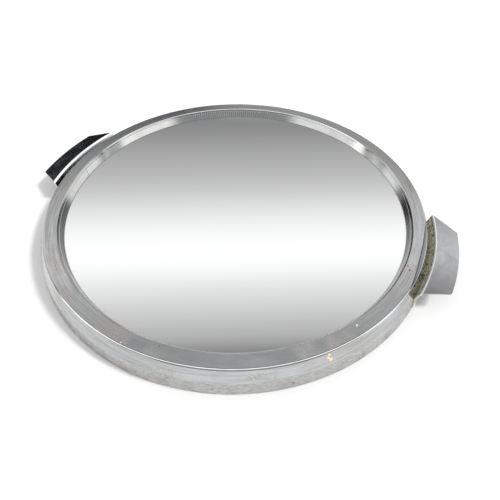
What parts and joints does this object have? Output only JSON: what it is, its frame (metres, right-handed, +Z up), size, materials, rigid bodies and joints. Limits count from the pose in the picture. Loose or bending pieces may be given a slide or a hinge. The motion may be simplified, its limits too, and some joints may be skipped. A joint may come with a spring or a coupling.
{
  "type": "round mirrored tray",
  "caption": "Round mirrored tray with a chromed hat-section rim, a chromed edge band and two slanted bracket handles on opposite sides.",
  "frame": {"origin": "centre of the tray on the surface it stands on", "axes": "+Z up through the glass; +X through the middle of the right handle; the handles lie on the X axis"},
  "size_m": [0.3902, 0.35, 0.022],
  "materials": {
    "felt": "green baize",
    "plywood": "bare plywood",
    "beech": "bare turned wood",
    "card": "grey card",
    "packing": "black paper strip",
    "mirror": "silvered glass",
    "rim_chrome": "polished, finely scratched",
    "ring_chrome": "polished",
    "band_chrome": "worn",
    "handle_chrome": "satin, tarnished near the tray",
    "brass": "bare",
    "steel": "plated"
  },
  "bodies": {
    "root": {"base_felt": "felt", "base_board": "plywood", "board_screws": "steel", "rim_core": "beech", "rim_shell": "rim_chrome", "shell_pins": "brass", "edge_band": "band_chrome", "band_brads": "steel", "mirror_card": "card", "mirror_glass": "mirror", "mirror_packing": "packing", "retaining_ring": "ring_chrome", "ring_joint_strap": "brass", "handle_right": "handle_chrome", "handle_right_screws": "steel", "handle_left": "handle_chrome", "handle_left_screws": "steel"}
  },
  "joints": []
}
